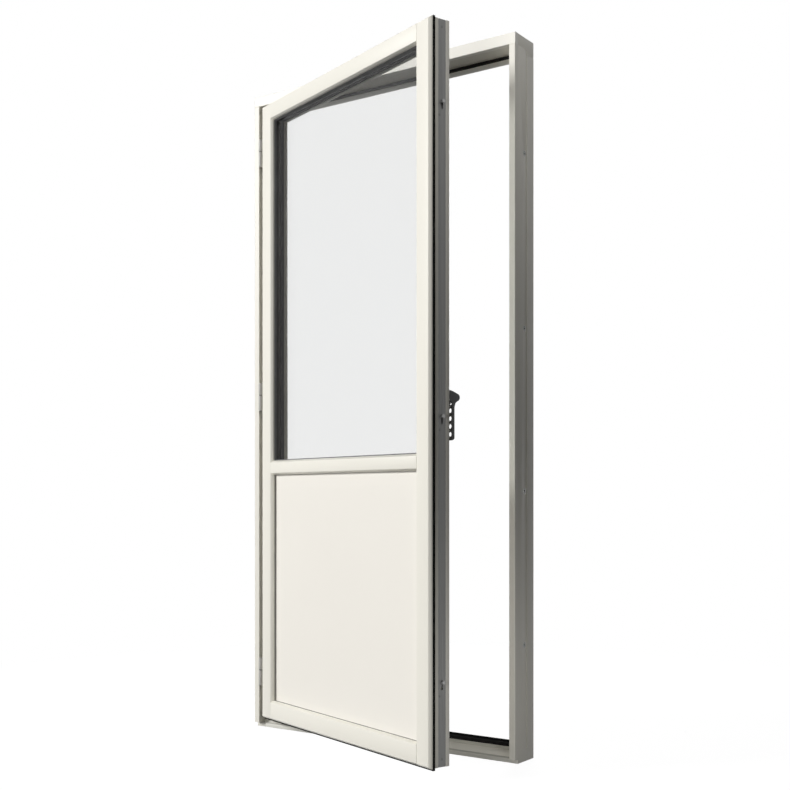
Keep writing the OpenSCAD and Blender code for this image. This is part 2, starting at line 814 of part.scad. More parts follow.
// Cuts the bevel across the two ends of a stile's cladding
module end_bevels() {
    along_x(grown(leaf_x, eps)) for (end = [0, 1]) {
        sign = end == 0 ? 1 : -1;
        polygon([
            [leaf_y[0] - eps, leaf_z[end] - sign * eps], [leaf_y[0] + bevel_d, leaf_z[end] - sign * eps],
            [leaf_y[0] + bevel_d, leaf_z[end]], [leaf_y[0], leaf_z[end] + sign * bevel_w],
            [leaf_y[0] - eps, leaf_z[end] + sign * bevel_w]
        ]);
    }
}

module stile_cladding(u) {
    difference() {
        along_z(leaf_z) cladding_section(u);
        along_z(grown(leaf_z, -end_cap)) cladding_hollow(u);
        end_bevels();
    }
}

module rail_cladding(u) {
    difference() {
        along_x(face_x) turned_section() cladding_section(u);
        along_x(grown(sight_x, -cladding_wall)) turned_section() cladding_hollow(u);
        along_z(leaf_z) cladding_section([leaf_x[0], sight_x[0]]);
        along_z(leaf_z) cladding_section([sight_x[1], leaf_x[1]]);
    }
}

module stile_cladding_hinge() color(paint) in_leaf() stile_cladding([leaf_x[0], sight_x[0]]);
module stile_cladding_lock() color(paint) in_leaf() stile_cladding([sight_x[1], leaf_x[1]]);
module rail_cladding_top() color(paint) in_leaf() rail_cladding(top_rail_z);
module rail_cladding_middle() color(paint) in_leaf() rail_cladding(middle_rail_z);
module rail_cladding_bottom() color(paint) in_leaf() rail_cladding(bottom_rail_z);

module leaf_seal() {
    color(rubber) in_leaf() difference() {
        ring(
            grown(leaf_x, leaf_seal_reach), [leaf_z[0] - leaf_seal_drop, leaf_z[1] + leaf_seal_reach],
            grown(timber_x, -leaf_seal_root), grown(timber_z, -leaf_seal_root), [cladding_y, seal_y]
        );
        for (z = hinge_zs)
            box([leaf_x[0] - leaf_seal_reach - eps, timber_x[0]], [cladding_y - eps, seal_y + eps],
                [z, z + leaf_knuckle_h + eps]);
    }
}

// Glass unit and panel

module slab(y0, t, z) box(unit_x, [y0, y0 + t], z);

module edge_ring(z, width, y) ring(unit_x, z, grown(unit_x, -width), grown(z, -width), y);

module pane_outer() color(glass, 0.4) in_leaf() slab(unit_y[0], pane_t, glass_z);
module pane_middle() color(glass, 0.4) in_leaf() slab(unit_y[0] + pane_t + pane_gap, pane_t, glass_z);
module pane_inner() color(glass, 0.4) in_leaf() slab(unit_y[1] - pane_t, pane_t, glass_z);

module spacer(y0) in_leaf() edge_ring(glass_z, spacer_w, [y0, y0 + pane_gap]);

module spacer_outer() color(black) spacer(unit_y[0] + pane_t);
module spacer_inner() color(black) spacer(unit_y[0] + 2 * pane_t + pane_gap);

glazing_seal_w = glazing_cover - edge_clearance + glazing_seal_sight;
bedding_w = glazing_cover - edge_clearance - bedding_inset;
tape_inset = 1;
tape_w = glazing_cover - edge_clearance - tape_inset;

module glass_seal() color(rubber) in_leaf() edge_ring(glass_z, glazing_seal_w, [cladding_y, unit_y[0]]);
module glass_tape() color(rubber) in_leaf() edge_ring(glass_z, tape_w, [unit_y[1], lip_y]);

module panel_outer_board() color(paint) in_leaf() slab(unit_y[0], pane_t, panel_z);
module panel_core() color("#d8c9a0") in_leaf() slab(unit_y[0] + pane_t, pane_t + 2 * pane_gap, panel_z);
module panel_inner_board() color(paint) in_leaf() slab(unit_y[1] - pane_t, pane_t, panel_z);
module panel_seal() color(paint) in_leaf() edge_ring(panel_z, bedding_w, [cladding_y, unit_y[0]]);
module panel_tape() color(rubber) in_leaf() edge_ring(panel_z, tape_w, [unit_y[1], lip_y]);

module setting_blocks() {
    color(black) in_leaf()
    for (foot = [glass_rebate_z[0], panel_rebate_z[0]])
        for (x0 = [unit_x[0] + block_offset, unit_x[1] - block_offset - block_len])
            box([x0, x0 + block_len], unit_y, [foot, foot + edge_clearance]);
}

// Espagnolette: faceplate, gearbox, and the drive bar with its rack and cams

module cam_slot(z) {
    r = cam_stud_d / 2 + cam_slot_play[0];
    along_x([plate_x - eps, edge_x + eps]) {
        translate([lock_y - r, z - bar_travel - cam_slot_play[1]])
            square([2 * r, bar_travel + 2 * cam_slot_play[1]]);
        for (end = grown([z - bar_travel, z], cam_slot_play[1])) translate([lock_y, end]) circle(r);
    }
}

// Screws on the plate's centre line at its ends, and beside the bar below each cam
module faceplate_screw_set() {
    for (z = grown(faceplate_z, -faceplate_screw_end)) translate([edge_x, lock_y, z]) screw(-1);
    for (z = cam_zs)
        translate([edge_x, faceplate_y[0] + screw_head_r, z - faceplate_screw_drop]) screw(-1);
}

module faceplate() {
    color(steel) in_leaf() difference() {
        along_x([plate_x, edge_x]) rounded(faceplate_y, faceplate_z, faceplate_r);
        for (z = cam_zs) cam_slot(z);
        faceplate_screw_set();
    }
}

module faceplate_screws() color(steel) in_leaf() faceplate_screw_set();

module gearbox_case() {
    inner_y = grown(case_y, -case_wall);
    color(steel) in_leaf() difference() {
        box([case_x, plate_x], case_y, case_z);
        box([case_x + case_wall, plate_x + eps], inner_y, grown(case_z, -case_wall));
        box([bar_x[0] - bar_play, plate_x + eps], inner_y, grown(case_z, eps));
        bar_y(axis_x, handle_z, hub_r + running_fit, grown(case_y, eps));
    }
}

// Involute pinion: half the angle of a tooth at a radius, in degrees
pressure_angle = 20;
base_r = pitch_r * cos(pressure_angle);
pinion_tip = 0.6;
pinion_root = 0.9;
tip_r = pitch_r + pinion_tip * gear_module;
root_r = pitch_r - pinion_root * gear_module;
tooth_w = gear_pitch / 2 - gear_play / 2;
function involute(a) = tan(a) * 180 / PI - a;
function half_tooth(r) =
    tooth_w / 2 / pitch_r * 180 / PI + involute(pressure_angle) - involute(acos(min(1, base_r / r)));
flank_rs = [root_r, base_r, (2 * base_r + tip_r) / 3, (base_r + 2 * tip_r) / 3, tip_r];
function tooth(centre) = concat(
    [for (r = flank_rs) polar(r, centre - half_tooth(r))],
    [for (i = [len(flank_rs) - 1 : -1 : 0]) polar(flank_rs[i], centre + half_tooth(flank_rs[i]))]
);

module pinion() {
    color(steel) in_leaf() difference() {
        union() {
            along_y(gear_y) translate([axis_x, handle_z])
                polygon([for (i = [0 : pinion_teeth - 1]) each tooth((i + 0.5) * 360 / pinion_teeth)]);
            bar_y(axis_x, handle_z, hub_r, case_y);
        }
        square_bar(grown(case_y, eps));
    }
}

// The rack's teeth point at the pinion, with low tips that clear its roots
rack_x = axis_x + pitch_r;
rack_tip = 0.55 * gear_module;
rack_root = 0.8 * gear_module;
first_tooth = -2;
last_tooth = 4;
rack_z = handle_z + (first_tooth - 0.5) * gear_pitch;
rack_len = (last_tooth - first_tooth + 1) * gear_pitch;
function rack_half(depth) = tooth_w / 2 - depth * tan(pressure_angle);

module rack() {
    body_x = rack_x + rack_root;
    along_y(gear_y) {
        translate([body_x, rack_z]) square([bar_x[0] - body_x + eps, rack_len]);
        for (i = [first_tooth : last_tooth]) translate([rack_x, handle_z + i * gear_pitch]) polygon([
            [-rack_tip, -rack_half(rack_tip)], [-rack_tip, rack_half(rack_tip)],
            [rack_root + eps, rack_half(-rack_root)], [rack_root + eps, -rack_half(-rack_root)]
        ]);
    }
}

module drive_bar() {
    color(steel) in_leaf() difference() {
        union() {
            box(bar_x, bar_side_y, bar_z);
            rack();
        }
        along_x(grown(bar_x, eps)) for (z = cam_zs) translate([lock_y, z]) circle(d = cam_stud_d);
    }
}

module locking_cams() {
    stud_r = cam_stud_d / 2;
    head_r = cam_d / 2;
    color(aluminium) in_leaf() for (z = cam_zs)
        translate([0, lock_y, z]) rotate([0, 90, 0]) rotate_extrude() polygon([
            [0, bar_x[0]], [stud_r, bar_x[0]], [stud_r, cam_head_x[0]],
            [head_r - cam_bevel, cam_head_x[0]], [head_r, cam_head_x[0] + cam_bevel],
            [head_r, cam_head_x[1] - cam_bevel], [head_r - cam_bevel, cam_head_x[1]], [0, cam_head_x[1]]
        ]);
}

// Handle

rosette_y = [leaf_y[1], leaf_y[1] + rosette_t];

module rosette_screw_pair() {
    for (side = [-1, 1])
        translate([axis_x, rosette_y[1], handle_z + side * rosette_screw_z]) rotate(90) screw(-1);
}

// Half of a section through the rosette, from its middle outwards
module rosette_half() {
    r = rosette_w / 2;
    polygon([
        [0, rosette_y[0]], [r, rosette_y[0]], [r, rosette_y[1] - rosette_bevel],
        [r - rosette_bevel, rosette_y[1]], [0, rosette_y[1]]
    ]);
}

module rosette() {
    end_z = (rosette_h - rosette_w) / 2;
    color(black) in_leaf() difference() {
        translate([axis_x, 0, handle_z]) {
            along_z([-end_z, end_z]) for (side = [0, 1]) mirror([side, 0]) rosette_half();
            for (side = [-1, 1])
                translate([0, 0, side * end_z]) rotate([-90, 0, 0]) rotate_extrude() rosette_half();
        }
        bar_y(axis_x, handle_z, collar_r + running_fit, grown(rosette_y, eps));
        rosette_screw_pair();
    }
}

module rosette_screws() color(steel) in_leaf() rosette_screw_pair();

// The lever's side outline, as distance from the leaf and height over the axis.
// A round nose runs through a hollow into the flat grip
grip_out = grip_gap + grip_t;
nose = [nose_out - nose_r, -nose_drop];
throat_x = grip_out + throat_r;
throat_z = nose[1] - sqrt(pow(nose_r + throat_r, 2) - pow(throat_x - nose[0], 2));
throat_start = nose + nose_r / (nose_r + throat_r) * [throat_x - nose[0], throat_z - nose[1]];

module lever_side() {
    neck = rosette_t + neck_gap;
    difference() {
        union() {
            translate(nose) circle(nose_r);
            polygon([
                [neck, -neck_h], [neck, neck_h], [neck + brow[0], brow[1]],
                nose + polar(nose_r, nose_top), nose, throat_start, [grip_out, throat_z],
                [grip_out, grip_end_bevel - lever_len], [grip_out - grip_end_bevel / 2, -lever_len],
                [grip_gap, -lever_len], [grip_gap, -neck_h - neck_slope]
            ]);
        }
        translate([throat_x, throat_z]) circle(throat_r);
    }
}

// The lever's front outline: a narrow head on a wider grip
module lever_front() {
    rounded([-head_w / 2, head_w / 2], [-head_foot, brow[1]], head_r);
    rounded([-grip_w / 2, grip_w / 2], [-lever_len, -grip_top], grip_r);
}

// A slot whose upper edge lies this far below the axis
module lever_slot(drop, h, y) wide_slot(axis_x, handle_z - drop - h / 2, slot_w, h, y);

module square_bar(y) along_y(y) translate([axis_x, handle_z]) square(spindle_w, center = true);

module lever() {
    through_y = [leaf_y[1], leaf_y[1] + nose_out + eps];
    color(black) in_leaf() difference() {
        union() {
            bar_y(axis_x, handle_z, collar_r, [leaf_y[1] + neck_gap, leaf_y[1] + rosette_t + 2 * neck_gap]);
            translate([axis_x, leaf_y[1], handle_z]) intersection() {
                along_x([-grip_w, grip_w]) lever_side();
                along_y([0, nose_out + eps]) lever_front();
            }
        }
        for (i = [0 : slot_count - 1]) lever_slot(slot_start + i * slot_pitch, slot_h, through_y);
        lever_slot(slot_start + slot_h - slot_pitch - short_slot_h, short_slot_h, through_y);
        square_bar([leaf_y[1], leaf_y[1] + spindle_reach]);
    }
}

module spindle() {
    color(steel) in_leaf() square_bar([case_y[0], leaf_y[1] + spindle_reach]);
}

frame_head();
frame_jamb_hinge();
frame_jamb_lock();
head_cladding();
jamb_cladding_hinge();
jamb_cladding_lock();
threshold_base();
threshold_plate();
frame_seal();
keeper_bottom();
keeper_middle();
keeper_top();
keeper_screws();
hinge_frame_bottom();
hinge_frame_middle();
hinge_frame_top();
hinge_pin_bottom();
hinge_pin_middle();
hinge_pin_top();
hinge_washers();
hinge_frame_screws();
fixing_sleeves();
stile_hinge();
stile_lock();
rail_top();
rail_middle();
rail_bottom();
stile_cladding_hinge();
stile_cladding_lock();
rail_cladding_top();
rail_cladding_middle();
rail_cladding_bottom();
leaf_seal();
pane_outer();
pane_middle();
pane_inner();
spacer_outer();
spacer_inner();
glass_seal();
glass_tape();
setting_blocks();
panel_outer_board();
panel_core();
panel_inner_board();
panel_seal();
panel_tape();
hinge_leaf_bottom();
hinge_leaf_middle();
hinge_leaf_top();
hinge_leaf_screws();
faceplate();
faceplate_screws();
gearbox_case();
rosette();
rosette_screws();
lever();
spindle();
pinion();
drive_bar();
locking_cams();
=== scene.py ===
"""Looks of an outward-opening balcony door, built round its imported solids.

Leaf pieces are shaped with the door shut, in metres, and then swung to where the leaf stands.
"""

import json
import math

import bpy
from mathutils import Matrix, Vector


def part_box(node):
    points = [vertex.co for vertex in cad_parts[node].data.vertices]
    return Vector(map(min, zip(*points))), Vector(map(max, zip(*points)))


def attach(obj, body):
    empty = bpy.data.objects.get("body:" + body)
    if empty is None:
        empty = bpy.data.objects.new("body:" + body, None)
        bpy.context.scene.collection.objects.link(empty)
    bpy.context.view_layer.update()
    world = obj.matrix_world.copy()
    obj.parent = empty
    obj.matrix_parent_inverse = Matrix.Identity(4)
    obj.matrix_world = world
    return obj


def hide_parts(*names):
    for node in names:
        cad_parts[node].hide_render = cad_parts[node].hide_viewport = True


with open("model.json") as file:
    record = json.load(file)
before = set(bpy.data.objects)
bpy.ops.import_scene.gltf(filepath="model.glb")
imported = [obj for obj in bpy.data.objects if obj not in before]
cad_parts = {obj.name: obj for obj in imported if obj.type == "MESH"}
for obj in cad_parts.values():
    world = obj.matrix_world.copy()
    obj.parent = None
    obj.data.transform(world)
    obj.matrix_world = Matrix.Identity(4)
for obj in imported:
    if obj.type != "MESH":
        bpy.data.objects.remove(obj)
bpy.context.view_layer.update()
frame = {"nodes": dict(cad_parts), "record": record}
nodes = frame["nodes"]
body_of_node = {n: body for body, names in frame["record"]["behaviour"]["bodies"].items() for n in names}
slot_of_node = {row["node"]: row["material_slot"] for row in frame["record"]["subparts"]}

# Where the leaf stands, the frame's front face, and how near points have to be to merge
MM = 0.001
OPEN_ANGLE = math.radians(19.7)
HINGE_PIN = Vector((-0.463, -0.056, 0.0))
SWING = (
    Matrix.Translation(HINGE_PIN) @ Matrix.Rotation(-OPEN_ANGLE, 4, "Z") @ Matrix.Translation(-HINGE_PIN)
)
UNSWING = SWING.inverted()
FACE_Y = -0.055
HINGE_PLACES = ("bottom", "middle", "top")
WELD_REACH = 0.01 * MM
SOLID_WELD_REACH = 0.005 * MM


# Modelling helpers

def only(piece):
    """Selects one piece and nothing else."""
    bpy.ops.object.select_all(action="DESELECT")
    piece.select_set(True)
    bpy.context.view_layer.objects.active = piece


def edit(piece, mode="VERT"):
    """Opens a piece in edit mode with nothing selected."""
    only(piece)
    bpy.ops.object.mode_set(mode="EDIT")
    bpy.ops.mesh.select_mode(type=mode)
    bpy.ops.mesh.select_all(action="DESELECT")


def pick(piece, test):
    """Selects the vertices that pass a test of their place, and stays in edit mode."""
    bpy.ops.object.mode_set(mode="OBJECT")
    for vertex in piece.data.vertices:
        vertex.select = test(vertex.co)
    bpy.ops.object.mode_set(mode="EDIT")


def close_edit(piece, angle=30):
    """Leaves edit mode with merged corners, outward faces and smooth curves."""
    bpy.ops.mesh.select_all(action="SELECT")
    bpy.ops.mesh.remove_doubles(threshold=WELD_REACH)
    bpy.ops.mesh.normals_make_consistent(inside=False)
    bpy.ops.object.mode_set(mode="OBJECT")
    only(piece)
    bpy.ops.object.shade_smooth_by_angle(angle=math.radians(angle))


def settle(piece, name, finish, body, stands_for):
    """Names a finished piece, gives it its material and lets it ride on its body for its solids."""
    only(piece)
    bpy.ops.object.transform_apply(location=True, rotation=True, scale=True)
    piece.name = name
    piece.data.name = name
    piece.data.materials.clear()
    piece.data.materials.append(finish)
    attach(piece, body)
    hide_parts(*stands_for)
    return piece


def joined(pieces):
    """Joins pieces into the first one and settles its place, turn and scale."""
    bpy.ops.object.select_all(action="DESELECT")
    for piece in pieces:
        piece.select_set(True)
    bpy.context.view_layer.objects.active = pieces[0]
    bpy.ops.object.join()
    bpy.ops.object.transform_apply(location=True, rotation=True, scale=True)
    return pieces[0]


def copy_of_solid(node, name):
    """A copy of a solid that can be edited, with the points that lie together merged."""
    piece = bpy.data.objects.new(name, nodes[node].data.copy())
    bpy.context.scene.collection.objects.link(piece)
    edit(piece)
    bpy.ops.mesh.customdata_custom_splitnormals_clear()
    bpy.ops.mesh.select_all(action="SELECT")
    bpy.ops.mesh.remove_doubles(threshold=SOLID_WELD_REACH)
    return piece


def shut_box(node, points):
    """Lowest and highest corner of some of a node's points, with the leaf shut."""
    if body_of_node[node] != "frame":
        points = [UNSWING @ p for p in points]
    return Vector(map(min, *points)), Vector(map(max, *points))


def node_box(node):
    """A solid's box with the leaf shut."""
    if body_of_node[node] == "frame":
        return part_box(node)
    return shut_box(node, [v.co for v in nodes[node].data.vertices])


# Shader helpers

class Value:
    """A socket that carries a number, so that shader maths is written as arithmetic."""

    def __init__(self, finish, socket):
        self.finish = finish
        self.socket = socket

    def math(self, operation, first, second):
        return self.finish.node("ShaderNodeMath", {"operation": operation}, {0: first, 1: second})

    def __add__(self, other):
        return self.math("ADD", self, other)

    def __sub__(self, other):
        return self.math("SUBTRACT", self, other)

    def __mul__(self, other):
        return self.math("MULTIPLY", self, other)

    def __pow__(self, other):
        return self.math("POWER", self, other)

    def __or__(self, other):
        return self.math("MAXIMUM", self, other)

    __radd__ = __add__
    __rmul__ = __mul__


class Finish:
    """The nodes of one material, or of the world."""

    def __init__(self, owner):
        owner.use_nodes = True
        self.owner = owner
        self.tree = owner.node_tree
        self.shader = self.tree.nodes.get("Principled BSDF")
        self.out = next(n for n in self.tree.nodes if n.type.startswith("OUTPUT"))

    def feed(self, socket, value):
        if isinstance(value, Value):
            self.tree.links.new(value.socket, socket)
        else:
            socket.default_value = value

    def node(self, kind, settings=None, inputs=None, output=0):
        made = self.tree.nodes.new(kind)
        for name, value in (settings or {}).items():
            if name == "stops":
                for stop, (place, shade) in zip(made.color_ramp.elements, value):
                    stop.position = place
                    stop.color = (shade, shade, shade, 1)
            else:
                setattr(made, name, value)
        for key, value in (inputs or {}).items():
            self.feed(made.inputs[key], value)
        return Value(self, made.outputs[output])

    def place(self, turn=0.0, stretch=(1, 1, 1)):
        """Object coordinates, turned about the vertical and then stretched."""
        spot = self.node("ShaderNodeTexCoord", output="Object")
        turned = self.node("ShaderNodeMapping", None, {"Vector": spot, "Rotation": (0, 0, turn)})
        return self.node("ShaderNodeMapping", None, {"Vector": turned, "Scale": stretch})

    def noise(self, place, scale, detail=2.0, roughness=0.5):
        sizes = {"Vector": place, "Scale": scale, "Detail": detail, "Roughness": roughness}
        return self.node("ShaderNodeTexNoise", {"noise_dimensions": "3D"}, sizes)

    def steps(self, value, low, high):
        """A value sharpened to run from black at low to white at high."""
        return self.node("ShaderNodeValToRGB", {"stops": [(low, 0), (high, 1)]}, {"Fac": value})

    def blend(self, mask, first, second):
        """A colour between two, by a mask."""
        colours = {0: mask, 6: (*first, 1), 7: (*second, 1)}
        return self.node("ShaderNodeMix", {"data_type": "RGBA"}, colours, output=2)

    def relief(self, height, distance, strength=1.0):
        """A bump of this depth in metres."""
        sizes = {"Height": height, "Distance": distance, "Strength": strength}
        return self.node("ShaderNodeBump", None, sizes)

    def coat(self, **sockets):
        """Sets the shader's own sockets, whose names are written with underscores."""
        for name, value in sockets.items():
            self.feed(self.shader.inputs[name.replace("_", " ")], value)
        return self.owner


def new_finish(name):
    return Finish(bpy.data.materials.new(name))


def tinted(colour, by):
    """A colour made lighter or darker by a share."""
    return tuple(min(1.0, c * (1 + by)) for c in colour)


# Finishes

WHITE = (0.86, 0.835, 0.752)
TIMBER_WHITE = (0.85, 0.825, 0.742)
PANEL_WHITE = (0.876, 0.844, 0.776)
# Painted light: a lighter white for the head's cladding, for the brighter light that falls on the head
HEAD_PAINTED_LIGHT_WHITE = (0.93, 0.905, 0.83)
HINGE_GREY = (0.47, 0.46, 0.43)
PAINT_SHINE = 0.28
# Painted shade on the threshold, in the drip groove and along the foot of the step: depth of the line,
# its reach to each side, and how much it darkens
PAINTED_SHADE_LINES = [(-0.035, 0.0045, 0.75), (0.0125, 0.0035, 0.4)]
GLASS_COATING = 0.72
GLASS_IOR = 1.5
GLASS_CLEAR = (0.972, 0.973, 0.9725, 1)
GLASS_DIMMED = (0.855, 0.86, 0.855, 1)


def powder_coat(name, colour, gloss):
    """Powder coat on aluminium: a fine orange peel and a faint unevenness of colour."""
    finish = new_finish(name)
    spot = finish.place()
    cloud = finish.noise(spot, 2.5, 3)
    peel = finish.noise(spot, 700, 2)
    grit = finish.noise(spot, 2600, 1)
    return finish.coat(
        Base_Color=finish.blend(cloud, tinted(colour, -0.018), tinted(colour, 0.018)),
        Roughness=gloss + 0.08 * (peel - 0.5),
        Specular_IOR_Level=PAINT_SHINE,
        Normal=finish.relief(peel + 0.4 * grit, 0.00003, 0.6),
    )


def painted_timber(name, turn, stretch):
    """Sprayed paint on pine: the grain stands out a little and runs along the piece."""
    finish = new_finish(name)
    cloud = finish.noise(finish.place(), 3.5, 3)
    grain = finish.noise(finish.place(turn, stretch), 1.0, 4, 0.6)
    mist = finish.noise(finish.place(), 1500, 1)
    tone = 0.6 * cloud + 0.4 * grain
    return finish.coat(
        Base_Color=finish.blend(tone, tinted(TIMBER_WHITE, -0.03), tinted(TIMBER_WHITE, 0.02)),
        Roughness=0.36 + 0.14 * grain,
        Specular_IOR_Level=PAINT_SHINE,
        Normal=finish.relief(grain + 0.25 * mist, 0.00008, 0.5),
    )


def moulded(name, colour, gloss, shine=0.3, peel_size=900):
    """Dull moulded plastic or rubber with a fine skin."""
    finish = new_finish(name)
    spot = finish.place()
    cloud = finish.noise(spot, 14, 3)
    skin = finish.noise(spot, peel_size, 3)
    return finish.coat(
        Base_Color=finish.blend(cloud, tinted(colour, -0.25), tinted(colour, 0.25)),
        Roughness=gloss + 0.14 * (skin - 0.5),
        Specular_IOR_Level=shine,
        Normal=finish.relief(skin, 0.00005, 0.5),
    )


def drawn_metal(name, colour, metal, gloss, stretch):
    """Metal with the fine lines that drawing, brushing or rolling leaves along it."""
    finish = new_finish(name)
    lines = finish.noise(finish.place(0, stretch), 1.0, 4, 0.65)
    cloud = finish.noise(finish.place(), 9, 3)
    tone = 0.5 * lines + 0.5 * cloud
    return finish.coat(
        Base_Color=finish.blend(tone, tinted(colour, -0.16), tinted(colour, 0.16)),
        Metallic=metal,
        Roughness=gloss + 0.16 * (lines - 0.5),
        Normal=finish.relief(lines, 0.00003, 0.5),
    )


def threshold_coat(name, colour):
    """Powder coat on drawn aluminium, with painted shade in the drip groove and along the foot of the
    step.
    """
    finish = new_finish(name)
    lines = finish.noise(finish.place(0, (2.5, 500, 500)), 1.0, 4, 0.65)
    cloud = finish.noise(finish.place(), 9, 3)
    depth = finish.node("ShaderNodeSeparateXYZ", None, {0: finish.place()}, output="Y")
    # Painted shade: the colour darkens along the drip groove and the foot of the step
    unshaded = 1.0
    for shade_y, reach, share in PAINTED_SHADE_LINES:
        away = finish.steps(((depth - shade_y) * (1 / reach)) ** 2, 0.2, 1.0)
        unshaded = unshaded * ((1 - share) + share * away)
    tone = unshaded * (0.52 + 0.24 * lines + 0.24 * cloud)
    return finish.coat(
        Base_Color=finish.blend(tone, tinted(colour, -0.6), tinted(colour, 0.16)),
        Roughness=0.5 + 0.16 * (lines - 0.5),
        Specular_IOR_Level=PAINT_SHINE,
        Normal=finish.relief(lines, 0.00003, 0.5),
    )


def window_glass(name):
    """Clear coated glass: faint reflections, and lamps shine through it at a lower level."""
    finish = new_finish(name)
    haze = finish.noise(finish.place(), 1.6, 2)
    finish.coat(
        Base_Color=finish.blend(haze, (0.928, 0.93, 0.929), (0.936, 0.938, 0.937)),
        Roughness=0.0,
        IOR=GLASS_IOR,
        Specular_Tint=(0.3, 0.3, 0.3, 1),
        Transmission_Weight=1.0,
    )
    shadow = finish.node("ShaderNodeLightPath", output="Is Shadow Ray")
    diffuse = finish.node("ShaderNodeLightPath", output="Is Diffuse Ray")
    clear = finish.node("ShaderNodeBsdfRefraction", None, {"Color": GLASS_CLEAR, "IOR": GLASS_IOR})
    dimmed = finish.node("ShaderNodeBsdfTransparent", None, {"Color": GLASS_DIMMED})
    pane = Value(finish, finish.shader.outputs[0])
    coated = finish.node("ShaderNodeMixShader", None, {0: GLASS_COATING, 1: pane, 2: clear})
    mixed = finish.node("ShaderNodeMixShader", None, {0: shadow | diffuse, 1: coated, 2: dimmed})
    finish.feed(finish.out.inputs["Surface"], mixed)
    return finish.owner


def spacer_bar(name, colour, shine):
    """Warm-edge spacer: dull, with the faint ribs of its profile."""
    finish = new_finish(name)
    spot = finish.place(OPEN_ANGLE, (1, 1, 1))
    ribs = finish.node("ShaderNodeTexWave", {"bands_direction": "Y"}, {"Vector": spot, "Scale": 260.0})
    skin = finish.noise(spot, 400, 2)
    return finish.coat(
        Base_Color=finish.blend(ribs, tinted(colour, -0.25), tinted(colour, 0.25)),
        Specular_IOR_Level=shine,
        Roughness=0.5 + 0.12 * (skin - 0.5),
        Normal=finish.relief(ribs, 0.0002, 0.4),
    )


ALONG_Z = (55, 55, 2.2)
ALONG_X = (2.2, 55, 55)
upright_paint = painted_timber("upright_timber_paint", 0.0, ALONG_Z)
level_paint = painted_timber("level_timber_paint", 0.0, ALONG_X)
leaf_level_paint = painted_timber("leaf_level_timber_paint", OPEN_ANGLE, ALONG_X)
cladding_coat = powder_coat("white_powder_coat", WHITE, 0.42)
panel_coat = powder_coat("white_panel_coat", PANEL_WHITE, 0.46)
# Painted light: the head's cladding gets a lighter copy of the white powder coat
head_painted_light_coat = powder_coat("white_head_painted_light_coat", HEAD_PAINTED_LIGHT_WHITE, 0.42)
hinge_coat = powder_coat("grey_hinge_coat", HINGE_GREY, 0.34)
threshold_alu = threshold_coat("threshold_coat", (0.85, 0.835, 0.76))
threshold_core = moulded("threshold_composite", (0.012, 0.012, 0.012), 0.9, 0.0, 500)
rubber = moulded("seal_rubber", (0.002, 0.002, 0.002), 0.75, 0.02)
glazing_rubber = moulded("glazing_rubber", (0.2, 0.2, 0.2), 0.7, 0.1)
frame_rubber = moulded("frame_seal_rubber", (0.032, 0.032, 0.032), 0.75, 0.02)
# Painted shade: the panel's sealant bed is grey so that it reads as the shadow line round the panel
painted_shade_bedding = moulded("bedding_in_painted_shade", (0.3, 0.29, 0.27), 0.7, 0.2)
foam_tape = moulded("glazing_tape", (0.012, 0.012, 0.012), 0.85, 0.05, 1600)
black_nylon = moulded("black_nylon", (0.015, 0.015, 0.015), 0.5)
handle_black = moulded("black_handle_coat", (0.045, 0.045, 0.045), 0.4, 0.4, 1800)
foam_core = moulded("insulating_core", (0.62, 0.53, 0.33), 0.9, 0.1, 350)
lock_steel = drawn_metal("zinc_lock_steel", (0.25, 0.25, 0.245), 0.15, 0.48, (600, 600, 5))
pin_steel = drawn_metal("hinge_pin_steel", (0.5, 0.5, 0.49), 0.8, 0.3, (900, 900, 40))
screw_steel = drawn_metal("zinc_screw_steel", (0.2, 0.2, 0.195), 0.2, 0.38, (900, 900, 900))
cam_steel = drawn_metal("cam_steel", (0.36, 0.36, 0.355), 0.4, 0.35, (900, 900, 900))
sleeve_steel = drawn_metal("fixing_sleeve_steel", (0.5, 0.5, 0.48), 0.2, 0.45, (900, 900, 900))
glass = window_glass("window_glass")
spacer_dark = spacer_bar("dark_spacer", (0.034, 0.034, 0.034), 0.1)
spacer_grey = spacer_bar("grey_spacer", (0.085, 0.085, 0.084), 0.8)

FINISH_OF_SLOT = {
    "painted_timber": upright_paint,
    "painted_cladding": cladding_coat,
    "threshold_composite": threshold_core,
    "threshold_aluminium": threshold_alu,
    "seal_rubber": rubber,
    "panel_bedding": painted_shade_bedding,
    "hinge_metal": hinge_coat,
    "pin_steel": pin_steel,
    "lock_steel": lock_steel,
    "screw_steel": screw_steel,
    "cam_metal": cam_steel,
    "black_plastic": black_nylon,
    "window_glass": glass,
    "spacer_dark": spacer_dark,
    "painted_panel": panel_coat,
    "panel_core": foam_core,
    "black_handle": handle_black,
}
FINISH_OF_NODE = {
    "frame_head": level_paint,
    # The head's cladding takes the coat with painted light
    "head_cladding": head_painted_light_coat,
    "rail_top": leaf_level_paint,
    "rail_middle": leaf_level_paint,
    "rail_bottom": leaf_level_paint,
    "fixing_sleeves": sleeve_steel,
    "spacer_outer": spacer_grey,
}


def finish_of(node):
    return FINISH_OF_NODE.get(node) or FINISH_OF_SLOT[slot_of_node[node]]


for node_name, solid in nodes.items():
    solid.data.materials.clear()
    solid.data.materials.append(finish_of(node_name))


# Solids whose sharp edges are eased

RAIL_JOINT = 0.7 * MM
END_REACH = 1.5 * MM
FLAT_ANGLE = math.radians(0.3)
EDGE_ANGLE = math.radians(32)


def shorten(piece, node, gap):
    """Draws both ends of a rail's cladding back from the stiles, which leaves a fine joint."""
    low, high = node_box(node)
    edit(piece)
    for end_x, step in ((low.x, gap), (high.x, -gap)):
        pick(piece, lambda co: abs((UNSWING @ co).x - end_x) < END_REACH)
        bpy.ops.transform.translate(value=SWING.to_3x3() @ Vector((step, 0, 0)))
    bpy.ops.object.mode_set(mode="OBJECT")


